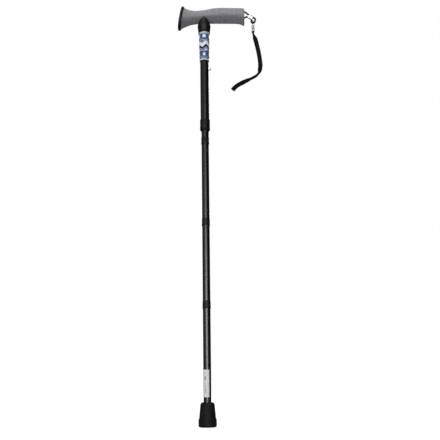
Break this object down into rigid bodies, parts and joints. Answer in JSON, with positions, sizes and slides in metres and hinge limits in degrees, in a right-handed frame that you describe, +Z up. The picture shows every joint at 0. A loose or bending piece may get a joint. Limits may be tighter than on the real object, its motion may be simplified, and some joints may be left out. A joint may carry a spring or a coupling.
{
  "type": "folding walking cane",
  "caption": "Folding, height-adjustable walking cane with a T handle, snap-button height adjuster, locking collar, shock-corded tube sections, rubber tip and wrist strap.",
  "frame": {"origin": "middle of the rubber tip's flat underside, on the shaft's axis, where the cane stands on the floor", "axes": "+Z up the shaft, +X towards the handle's strap end, +Y away from the side that the first view shows"},
  "size_m": [0.1862, 0.04, 0.9169],
  "materials": {
    "tip_rubber": "moulded black rubber, matt",
    "plain_steel": "plain steel",
    "shaft_tube": "aluminium tube, black anodised, satin",
    "black_plastic": "moulded black plastic, satin",
    "collar_plastic": "moulded black plastic, smooth",
    "white_film": "blank white adhesive film",
    "natural_nylon": "natural nylon",
    "shock_cord_fabric": "elastic cord in a woven sheath",
    "spring_steel": "spring steel strip",
    "bright_metal": "bright plated metal",
    "printed_film": "printed film, blue and white stripes on dark",
    "grip_rubber": "soft grey grip, fine matt grain",
    "black_cord": "braided black cord",
    "black_webbing": "woven black nylon webbing"
  },
  "bodies": {
    "handle": {"handle_core": "black_plastic", "grip_sleeve": "grip_rubber", "palm_end_cap": "black_plastic", "strap_plug": "black_plastic", "neck_pin": "plain_steel", "label_film": "printed_film", "upper_tube": "shaft_tube", "collet_bush": "natural_nylon", "anchor_cord": "black_cord", "cord_crimp": "bright_metal"},
    "collar": {"locking_collar": "collar_plastic"},
    "section_1": {"inner_tube": "shaft_tube", "slide_bush": "natural_nylon", "snap_spring": "spring_steel", "top_anchor": "natural_nylon", "ferrule_1": "black_plastic"},
    "button": {"snap_button": "bright_metal"},
    "section_2": {"middle_tube": "shaft_tube", "spigot_1": "black_plastic", "ferrule_2": "black_plastic"},
    "section_3": {"lower_tube": "shaft_tube", "spigot_2": "black_plastic", "ferrule_3": "black_plastic"},
    "section_4": {"bottom_tube": "shaft_tube", "spigot_3": "black_plastic", "sticker": "white_film", "bottom_anchor": "natural_nylon", "shock_cord": "shock_cord_fabric", "tip_washer": "plain_steel", "rubber_tip": "tip_rubber"},
    "strap_link": {"link_loop": "black_cord", "webbing_crimp": "bright_metal"},
    "wrist_strap": {"wrist_webbing": "black_webbing"}
  },
  "joints": [
    {"name": "height_slide", "type": "slide", "parent": "handle", "child": "section_1", "axis": [0, 0, -1], "range_m": [0, 0.1016], "deforming": ["snap_button"]},
    {"name": "button_press", "type": "slide", "parent": "section_1", "child": "button", "axis": [-1, 0, 0], "range_m": [0, 0.006], "stiffness_N_per_m": 400, "springref_m": -0.004, "deforming": ["snap_spring"]},
    {"name": "collar_turn", "type": "hinge", "parent": "handle", "child": "collar", "pos_m": [0, 0, 0.634], "axis": [0, 0, 1], "range_deg": [0, 180]},
    {"name": "fold_joint_1_pull", "type": "slide", "parent": "section_1", "child": "section_2", "axis": [0, 0, -1], "range_m": [0, 0.044], "stiffness_N_per_m": 200, "springref_m": -0.05, "deforming": ["shock_cord"]},
    {"name": "fold_joint_2_pull", "type": "slide", "parent": "section_2", "child": "section_3", "axis": [0, 0, -1], "range_m": [0, 0.044], "stiffness_N_per_m": 200, "springref_m": -0.05, "deforming": ["shock_cord"]},
    {"name": "fold_joint_3_pull", "type": "slide", "parent": "section_3", "child": "section_4", "axis": [0, 0, -1], "range_m": [0, 0.044], "stiffness_N_per_m": 200, "springref_m": -0.05, "deforming": ["shock_cord"]},
    {"name": "strap_sway", "type": "hinge", "parent": "handle", "child": "strap_link", "pos_m": [0.1104, 0, 0.87745], "axis": [1, 0, 0], "range_deg": [-60, 60]},
    {"name": "strap_swing", "type": "hinge", "parent": "strap_link", "child": "wrist_strap", "pos_m": [0.1104, 0, 0.8528], "axis": [0, 1, 0], "range_deg": [-60, 15]}
  ]
}
